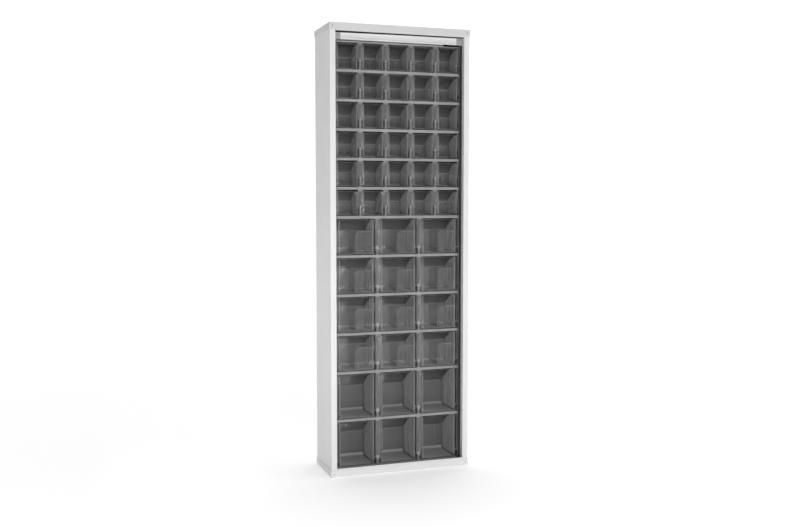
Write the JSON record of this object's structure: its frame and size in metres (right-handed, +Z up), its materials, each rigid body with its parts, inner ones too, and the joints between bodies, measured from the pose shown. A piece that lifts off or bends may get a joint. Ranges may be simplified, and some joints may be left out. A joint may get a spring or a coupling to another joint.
{
  "type": "parts organizer cabinet",
  "caption": "Tall free-standing cabinet of clear tilt-out storage bins in graded rows, closed by a roller shutter that rises into its top.",
  "frame": {"origin": "middle of the underside of the base tray", "axes": "+Z up along the height, +X to the right seen from the front, +Y towards the back, so the bins face -Y"},
  "size_m": [0.665, 0.266, 2.02],
  "materials": {
    "white_steel": "fine satin powder coat",
    "smoke_plastic": "clear smoke-tinted styrene",
    "rack_plastic": "light grey moulded plastic",
    "bar_aluminium": "white coated extrusion",
    "bar_cap_plastic": "light grey moulded end caps",
    "curtain_plastic": "light grey slats",
    "track_plastic": "black extruded guide",
    "seal_rubber": "black brush and rubber seals",
    "rivet_steel": "blind rivet heads"
  },
  "bodies": {
    "cabinet": {"left_side_panel": "white_steel", "right_side_panel": "white_steel", "back_panel": "white_steel", "top_cap": "white_steel", "base_tray": "white_steel", "bin_rack_small": "rack_plastic", "bin_rack_medium": "rack_plastic", "bin_rack_large": "rack_plastic", "left_guide_track": "track_plastic", "right_guide_track": "track_plastic", "shutter_curtain": "curtain_plastic"},
    "shutter": {"shutter_end_bar": "bar_aluminium"},
    "small_bin_r1_c1": {"small_bin_r1_c1": "smoke_plastic"},
    "small_bin_r1_c2": {"small_bin_r1_c2": "smoke_plastic"},
    "small_bin_r1_c3": {"small_bin_r1_c3": "smoke_plastic"},
    "small_bin_r1_c4": {"small_bin_r1_c4": "smoke_plastic"},
    "small_bin_r1_c5": {"small_bin_r1_c5": "smoke_plastic"},
    "small_bin_r2_c1": {"small_bin_r2_c1": "smoke_plastic"},
    "small_bin_r2_c2": {"small_bin_r2_c2": "smoke_plastic"},
    "small_bin_r2_c3": {"small_bin_r2_c3": "smoke_plastic"},
    "small_bin_r2_c4": {"small_bin_r2_c4": "smoke_plastic"},
    "small_bin_r2_c5": {"small_bin_r2_c5": "smoke_plastic"},
    "small_bin_r3_c1": {"small_bin_r3_c1": "smoke_plastic"},
    "small_bin_r3_c2": {"small_bin_r3_c2": "smoke_plastic"},
    "small_bin_r3_c3": {"small_bin_r3_c3": "smoke_plastic"},
    "small_bin_r3_c4": {"small_bin_r3_c4": "smoke_plastic"},
    "small_bin_r3_c5": {"small_bin_r3_c5": "smoke_plastic"},
    "small_bin_r4_c1": {"small_bin_r4_c1": "smoke_plastic"},
    "small_bin_r4_c2": {"small_bin_r4_c2": "smoke_plastic"},
    "small_bin_r4_c3": {"small_bin_r4_c3": "smoke_plastic"},
    "small_bin_r4_c4": {"small_bin_r4_c4": "smoke_plastic"},
    "small_bin_r4_c5": {"small_bin_r4_c5": "smoke_plastic"},
    "small_bin_r5_c1": {"small_bin_r5_c1": "smoke_plastic"},
    "small_bin_r5_c2": {"small_bin_r5_c2": "smoke_plastic"},
    "small_bin_r5_c3": {"small_bin_r5_c3": "smoke_plastic"},
    "small_bin_r5_c4": {"small_bin_r5_c4": "smoke_plastic"},
    "small_bin_r5_c5": {"small_bin_r5_c5": "smoke_plastic"},
    "small_bin_r6_c1": {"small_bin_r6_c1": "smoke_plastic"},
    "small_bin_r6_c2": {"small_bin_r6_c2": "smoke_plastic"},
    "small_bin_r6_c3": {"small_bin_r6_c3": "smoke_plastic"},
    "small_bin_r6_c4": {"small_bin_r6_c4": "smoke_plastic"},
    "small_bin_r6_c5": {"small_bin_r6_c5": "smoke_plastic"},
    "medium_bin_r7_c1": {"medium_bin_r7_c1": "smoke_plastic"},
    "medium_bin_r7_c2": {"medium_bin_r7_c2": "smoke_plastic"},
    "medium_bin_r7_c3": {"medium_bin_r7_c3": "smoke_plastic"},
    "medium_bin_r8_c1": {"medium_bin_r8_c1": "smoke_plastic"},
    "medium_bin_r8_c2": {"medium_bin_r8_c2": "smoke_plastic"},
    "medium_bin_r8_c3": {"medium_bin_r8_c3": "smoke_plastic"},
    "medium_bin_r9_c1": {"medium_bin_r9_c1": "smoke_plastic"},
    "medium_bin_r9_c2": {"medium_bin_r9_c2": "smoke_plastic"},
    "medium_bin_r9_c3": {"medium_bin_r9_c3": "smoke_plastic"},
    "medium_bin_r10_c1": {"medium_bin_r10_c1": "smoke_plastic"},
    "medium_bin_r10_c2": {"medium_bin_r10_c2": "smoke_plastic"},
    "medium_bin_r10_c3": {"medium_bin_r10_c3": "smoke_plastic"},
    "large_bin_r11_c1": {"large_bin_r11_c1": "smoke_plastic"},
    "large_bin_r11_c2": {"large_bin_r11_c2": "smoke_plastic"},
    "large_bin_r11_c3": {"large_bin_r11_c3": "smoke_plastic"},
    "large_bin_r12_c1": {"large_bin_r12_c1": "smoke_plastic"},
    "large_bin_r12_c2": {"large_bin_r12_c2": "smoke_plastic"},
    "large_bin_r12_c3": {"large_bin_r12_c3": "smoke_plastic"}
  },
  "joints": [
    {"name": "shutter_slide", "type": "slide", "parent": "cabinet", "child": "shutter", "axis": [0, 0, 1], "range_m": [-1.91, 0], "deforming": ["shutter_curtain"]},
    {"name": "small_bin_r1_c1_tilt", "type": "hinge", "parent": "cabinet", "child": "small_bin_r1_c1", "pos_m": [-0.24, -0.0784, 1.8646], "axis": [1, 0, 0], "range_deg": [0, 35]},
    {"name": "small_bin_r1_c2_tilt", "type": "hinge", "parent": "cabinet", "child": "small_bin_r1_c2", "pos_m": [-0.12, -0.0784, 1.8646], "axis": [1, 0, 0], "range_deg": [0, 35]},
    {"name": "small_bin_r1_c3_tilt", "type": "hinge", "parent": "cabinet", "child": "small_bin_r1_c3", "pos_m": [0, -0.0784, 1.8646], "axis": [1, 0, 0], "range_deg": [0, 35]},
    {"name": "small_bin_r1_c4_tilt", "type": "hinge", "parent": "cabinet", "child": "small_bin_r1_c4", "pos_m": [0.12, -0.0784, 1.8646], "axis": [1, 0, 0], "range_deg": [0, 35]},
    {"name": "small_bin_r1_c5_tilt", "type": "hinge", "parent": "cabinet", "child": "small_bin_r1_c5", "pos_m": [0.24, -0.0784, 1.8646], "axis": [1, 0, 0], "range_deg": [0, 35]},
    {"name": "small_bin_r2_c1_tilt", "type": "hinge", "parent": "cabinet", "child": "small_bin_r2_c1", "pos_m": [-0.24, -0.0784, 1.7346], "axis": [1, 0, 0], "range_deg": [0, 35]},
    {"name": "small_bin_r2_c2_tilt", "type": "hinge", "parent": "cabinet", "child": "small_bin_r2_c2", "pos_m": [-0.12, -0.0784, 1.7346], "axis": [1, 0, 0], "range_deg": [0, 35]},
    {"name": "small_bin_r2_c3_tilt", "type": "hinge", "parent": "cabinet", "child": "small_bin_r2_c3", "pos_m": [0, -0.0784, 1.7346], "axis": [1, 0, 0], "range_deg": [0, 35]},
    {"name": "small_bin_r2_c4_tilt", "type": "hinge", "parent": "cabinet", "child": "small_bin_r2_c4", "pos_m": [0.12, -0.0784, 1.7346], "axis": [1, 0, 0], "range_deg": [0, 35]},
    {"name": "small_bin_r2_c5_tilt", "type": "hinge", "parent": "cabinet", "child": "small_bin_r2_c5", "pos_m": [0.24, -0.0784, 1.7346], "axis": [1, 0, 0], "range_deg": [0, 35]},
    {"name": "small_bin_r3_c1_tilt", "type": "hinge", "parent": "cabinet", "child": "small_bin_r3_c1", "pos_m": [-0.24, -0.0784, 1.6046], "axis": [1, 0, 0], "range_deg": [0, 35]},
    {"name": "small_bin_r3_c2_tilt", "type": "hinge", "parent": "cabinet", "child": "small_bin_r3_c2", "pos_m": [-0.12, -0.0784, 1.6046], "axis": [1, 0, 0], "range_deg": [0, 35]},
    {"name": "small_bin_r3_c3_tilt", "type": "hinge", "parent": "cabinet", "child": "small_bin_r3_c3", "pos_m": [0, -0.0784, 1.6046], "axis": [1, 0, 0], "range_deg": [0, 35]},
    {"name": "small_bin_r3_c4_tilt", "type": "hinge", "parent": "cabinet", "child": "small_bin_r3_c4", "pos_m": [0.12, -0.0784, 1.6046], "axis": [1, 0, 0], "range_deg": [0, 35]},
    {"name": "small_bin_r3_c5_tilt", "type": "hinge", "parent": "cabinet", "child": "small_bin_r3_c5", "pos_m": [0.24, -0.0784, 1.6046], "axis": [1, 0, 0], "range_deg": [0, 35]},
    {"name": "small_bin_r4_c1_tilt", "type": "hinge", "parent": "cabinet", "child": "small_bin_r4_c1", "pos_m": [-0.24, -0.0784, 1.4746], "axis": [1, 0, 0], "range_deg": [0, 35]},
    {"name": "small_bin_r4_c2_tilt", "type": "hinge", "parent": "cabinet", "child": "small_bin_r4_c2", "pos_m": [-0.12, -0.0784, 1.4746], "axis": [1, 0, 0], "range_deg": [0, 35]},
    {"name": "small_bin_r4_c3_tilt", "type": "hinge", "parent": "cabinet", "child": "small_bin_r4_c3", "pos_m": [0, -0.0784, 1.4746], "axis": [1, 0, 0], "range_deg": [0, 35]},
    {"name": "small_bin_r4_c4_tilt", "type": "hinge", "parent": "cabinet", "child": "small_bin_r4_c4", "pos_m": [0.12, -0.0784, 1.4746], "axis": [1, 0, 0], "range_deg": [0, 35]},
    {"name": "small_bin_r4_c5_tilt", "type": "hinge", "parent": "cabinet", "child": "small_bin_r4_c5", "pos_m": [0.24, -0.0784, 1.4746], "axis": [1, 0, 0], "range_deg": [0, 35]},
    {"name": "small_bin_r5_c1_tilt", "type": "hinge", "parent": "cabinet", "child": "small_bin_r5_c1", "pos_m": [-0.24, -0.0784, 1.3446], "axis": [1, 0, 0], "range_deg": [0, 35]},
    {"name": "small_bin_r5_c2_tilt", "type": "hinge", "parent": "cabinet", "child": "small_bin_r5_c2", "pos_m": [-0.12, -0.0784, 1.3446], "axis": [1, 0, 0], "range_deg": [0, 35]},
    {"name": "small_bin_r5_c3_tilt", "type": "hinge", "parent": "cabinet", "child": "small_bin_r5_c3", "pos_m": [0, -0.0784, 1.3446], "axis": [1, 0, 0], "range_deg": [0, 35]},
    {"name": "small_bin_r5_c4_tilt", "type": "hinge", "parent": "cabinet", "child": "small_bin_r5_c4", "pos_m": [0.12, -0.0784, 1.3446], "axis": [1, 0, 0], "range_deg": [0, 35]},
    {"name": "small_bin_r5_c5_tilt", "type": "hinge", "parent": "cabinet", "child": "small_bin_r5_c5", "pos_m": [0.24, -0.0784, 1.3446], "axis": [1, 0, 0], "range_deg": [0, 35]},
    {"name": "small_bin_r6_c1_tilt", "type": "hinge", "parent": "cabinet", "child": "small_bin_r6_c1", "pos_m": [-0.24, -0.0784, 1.2146], "axis": [1, 0, 0], "range_deg": [0, 35]},
    {"name": "small_bin_r6_c2_tilt", "type": "hinge", "parent": "cabinet", "child": "small_bin_r6_c2", "pos_m": [-0.12, -0.0784, 1.2146], "axis": [1, 0, 0], "range_deg": [0, 35]},
    {"name": "small_bin_r6_c3_tilt", "type": "hinge", "parent": "cabinet", "child": "small_bin_r6_c3", "pos_m": [0, -0.0784, 1.2146], "axis": [1, 0, 0], "range_deg": [0, 35]},
    {"name": "small_bin_r6_c4_tilt", "type": "hinge", "parent": "cabinet", "child": "small_bin_r6_c4", "pos_m": [0.12, -0.0784, 1.2146], "axis": [1, 0, 0], "range_deg": [0, 35]},
    {"name": "small_bin_r6_c5_tilt", "type": "hinge", "parent": "cabinet", "child": "small_bin_r6_c5", "pos_m": [0.24, -0.0784, 1.2146], "axis": [1, 0, 0], "range_deg": [0, 35]},
    {"name": "medium_bin_r7_c1_tilt", "type": "hinge", "parent": "cabinet", "child": "medium_bin_r7_c1", "pos_m": [-0.2, -0.0784, 1.0293], "axis": [1, 0, 0], "range_deg": [0, 35]},
    {"name": "medium_bin_r7_c2_tilt", "type": "hinge", "parent": "cabinet", "child": "medium_bin_r7_c2", "pos_m": [0, -0.0784, 1.0293], "axis": [1, 0, 0], "range_deg": [0, 35]},
    {"name": "medium_bin_r7_c3_tilt", "type": "hinge", "parent": "cabinet", "child": "medium_bin_r7_c3", "pos_m": [0.2, -0.0784, 1.0293], "axis": [1, 0, 0], "range_deg": [0, 35]},
    {"name": "medium_bin_r8_c1_tilt", "type": "hinge", "parent": "cabinet", "child": "medium_bin_r8_c1", "pos_m": [-0.2, -0.0784, 0.8533], "axis": [1, 0, 0], "range_deg": [0, 35]},
    {"name": "medium_bin_r8_c2_tilt", "type": "hinge", "parent": "cabinet", "child": "medium_bin_r8_c2", "pos_m": [0, -0.0784, 0.8533], "axis": [1, 0, 0], "range_deg": [0, 35]},
    {"name": "medium_bin_r8_c3_tilt", "type": "hinge", "parent": "cabinet", "child": "medium_bin_r8_c3", "pos_m": [0.2, -0.0784, 0.8533], "axis": [1, 0, 0], "range_deg": [0, 35]},
    {"name": "medium_bin_r9_c1_tilt", "type": "hinge", "parent": "cabinet", "child": "medium_bin_r9_c1", "pos_m": [-0.2, -0.0784, 0.6773], "axis": [1, 0, 0], "range_deg": [0, 35]},
    {"name": "medium_bin_r9_c2_tilt", "type": "hinge", "parent": "cabinet", "child": "medium_bin_r9_c2", "pos_m": [0, -0.0784, 0.6773], "axis": [1, 0, 0], "range_deg": [0, 35]},
    {"name": "medium_bin_r9_c3_tilt", "type": "hinge", "parent": "cabinet", "child": "medium_bin_r9_c3", "pos_m": [0.2, -0.0784, 0.6773], "axis": [1, 0, 0], "range_deg": [0, 35]},
    {"name": "medium_bin_r10_c1_tilt", "type": "hinge", "parent": "cabinet", "child": "medium_bin_r10_c1", "pos_m": [-0.2, -0.0784, 0.5013], "axis": [1, 0, 0], "range_deg": [0, 35]},
    {"name": "medium_bin_r10_c2_tilt", "type": "hinge", "parent": "cabinet", "child": "medium_bin_r10_c2", "pos_m": [0, -0.0784, 0.5013], "axis": [1, 0, 0], "range_deg": [0, 35]},
    {"name": "medium_bin_r10_c3_tilt", "type": "hinge", "parent": "cabinet", "child": "medium_bin_r10_c3", "pos_m": [0.2, -0.0784, 0.5013], "axis": [1, 0, 0], "range_deg": [0, 35]},
    {"name": "large_bin_r11_c1_tilt", "type": "hinge", "parent": "cabinet", "child": "large_bin_r11_c1", "pos_m": [-0.2, -0.0784, 0.283], "axis": [1, 0, 0], "range_deg": [0, 35]},
    {"name": "large_bin_r11_c2_tilt", "type": "hinge", "parent": "cabinet", "child": "large_bin_r11_c2", "pos_m": [0, -0.0784, 0.283], "axis": [1, 0, 0], "range_deg": [0, 35]},
    {"name": "large_bin_r11_c3_tilt", "type": "hinge", "parent": "cabinet", "child": "large_bin_r11_c3", "pos_m": [0.2, -0.0784, 0.283], "axis": [1, 0, 0], "range_deg": [0, 35]},
    {"name": "large_bin_r12_c1_tilt", "type": "hinge", "parent": "cabinet", "child": "large_bin_r12_c1", "pos_m": [-0.2, -0.0784, 0.065], "axis": [1, 0, 0], "range_deg": [0, 35]},
    {"name": "large_bin_r12_c2_tilt", "type": "hinge", "parent": "cabinet", "child": "large_bin_r12_c2", "pos_m": [0, -0.0784, 0.065], "axis": [1, 0, 0], "range_deg": [0, 35]},
    {"name": "large_bin_r12_c3_tilt", "type": "hinge", "parent": "cabinet", "child": "large_bin_r12_c3", "pos_m": [0.2, -0.0784, 0.065], "axis": [1, 0, 0], "range_deg": [0, 35]}
  ]
}
